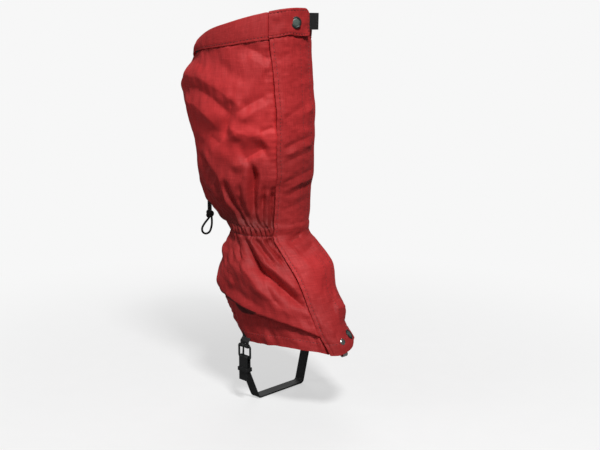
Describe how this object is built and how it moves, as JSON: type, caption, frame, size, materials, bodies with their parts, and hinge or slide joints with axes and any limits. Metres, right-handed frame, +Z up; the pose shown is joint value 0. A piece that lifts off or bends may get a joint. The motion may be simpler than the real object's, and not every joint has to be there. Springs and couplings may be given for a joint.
{
  "type": "hiking gaiter",
  "caption": "Knee-high cloth gaiter with a front storm flap, press studs, gathered waist, drawcord cuff, lace hook and buckled underfoot strap.",
  "frame": {"origin": "centre of the elastic waist ring, at the ankle", "axes": "-Y towards the toe, -X towards the outer side of a right leg (the buckle side), +Z up the leg"},
  "size_m": [0.1562, 0.2764, 0.4958],
  "materials": {
    "red_cloth": "plain-weave nylon, matt",
    "black_webbing": "ribbed webbing",
    "elastic": "woven elastic",
    "hook_loop_tape": "hook and loop tape",
    "cord": "braided cord",
    "black_plastic": "moulded",
    "dark_metal": "gunmetal lacquer",
    "bright_metal": "nickel plate",
    "strap_rubber": "coated strap, matt"
  },
  "bodies": {
    "foot": {"foot_panel_right": "red_cloth", "foot_panel_left": "red_cloth", "back_seam_tape_lower": "black_webbing", "waist_elastic": "elastic", "waist_sleeve": "red_cloth", "storm_flap_waist": "red_cloth", "loop_tape_lower": "hook_loop_tape", "bottom_snap_stud": "dark_metal", "bottom_snap_backing": "dark_metal", "strap_patches": "black_webbing", "strap_rivets": "dark_metal"},
    "calf": {"calf_panel_right": "red_cloth", "calf_panel_left": "red_cloth", "back_seam_tape_upper": "black_webbing", "loop_tape_upper": "hook_loop_tape", "cuff_band": "red_cloth", "drawcord": "cord", "cord_eyelets": "dark_metal", "top_snap_stud": "dark_metal", "top_snap_backing": "dark_metal"},
    "flap_upper": {"storm_flap_upper": "red_cloth", "hook_tape_upper": "hook_loop_tape", "cuff_tab": "red_cloth", "pull_tab": "black_webbing", "top_snap_cap": "dark_metal", "top_snap_socket": "dark_metal"},
    "flap_lower": {"storm_flap_lower": "red_cloth", "hook_tape_lower": "hook_loop_tape", "bottom_snap_cap": "dark_metal", "bottom_snap_socket": "dark_metal", "lace_hook_rivet": "bright_metal", "lace_hook_washer": "bright_metal"},
    "lace_hook": {"lace_hook": "bright_metal"},
    "underfoot_strap": {"underfoot_strap": "strap_rubber", "buckle_tab": "strap_rubber", "buckle_frame": "dark_metal", "strap_keeper": "strap_rubber"},
    "buckle_prong": {"buckle_prong": "dark_metal"},
    "cord_tail": {"cord_tail": "cord"},
    "cord_lock": {"cord_lock_body": "black_plastic", "cord_lock_spring": "bright_metal"},
    "cord_lock_button": {"cord_lock_button": "black_plastic"}
  },
  "joints": [
    {"name": "ankle_flex", "type": "hinge", "parent": "foot", "child": "calf", "pos_m": [0, 0, 0], "axis": [1, 0, 0], "range_deg": [-12, 15], "stiffness_Nm_per_rad": 1, "deforming": ["waist_sleeve", "storm_flap_waist"]},
    {"name": "flap_upper_open", "type": "hinge", "parent": "calf", "child": "flap_upper", "pos_m": [-0.032, -0.046, 0.13], "axis": [0, 0, -1], "range_deg": [0, 110]},
    {"name": "flap_lower_open", "type": "hinge", "parent": "foot", "child": "flap_lower", "pos_m": [-0.032, -0.066, -0.024], "axis": [0.0841, -0.4969, -0.8637], "range_deg": [0, 100]},
    {"name": "lace_hook_swivel", "type": "hinge", "parent": "flap_lower", "child": "lace_hook", "pos_m": [-0.0015, -0.12876, -0.126], "axis": [0, -0.9034, 0.4288], "range_deg": [-8, 15]},
    {"name": "strap_swing", "type": "hinge", "parent": "foot", "child": "underfoot_strap", "pos_m": [0, -0.014, -0.128], "axis": [1, 0, 0], "range_deg": [-50, 60]},
    {"name": "prong_turn", "type": "hinge", "parent": "underfoot_strap", "child": "buckle_prong", "pos_m": [-0.0586, -0.014, -0.144], "axis": [0, 1, 0], "range_deg": [0, 95]},
    {"name": "cord_swing", "type": "hinge", "parent": "calf", "child": "cord_tail", "pos_m": [0.008, 0.1098, 0.2205], "axis": [1, 0, 0], "range_deg": [0, 35]},
    {"name": "cord_lock_slide", "type": "slide", "parent": "cord_tail", "child": "cord_lock", "axis": [0, 0, -1], "range_m": [0, 0.13]},
    {"name": "cord_lock_press", "type": "slide", "parent": "cord_lock", "child": "cord_lock_button", "axis": [-1, 0, 0], "range_m": [0, 0.0035], "stiffness_N_per_m": 400, "springref_m": -0.001, "deforming": ["cord_lock_spring"]}
  ]
}
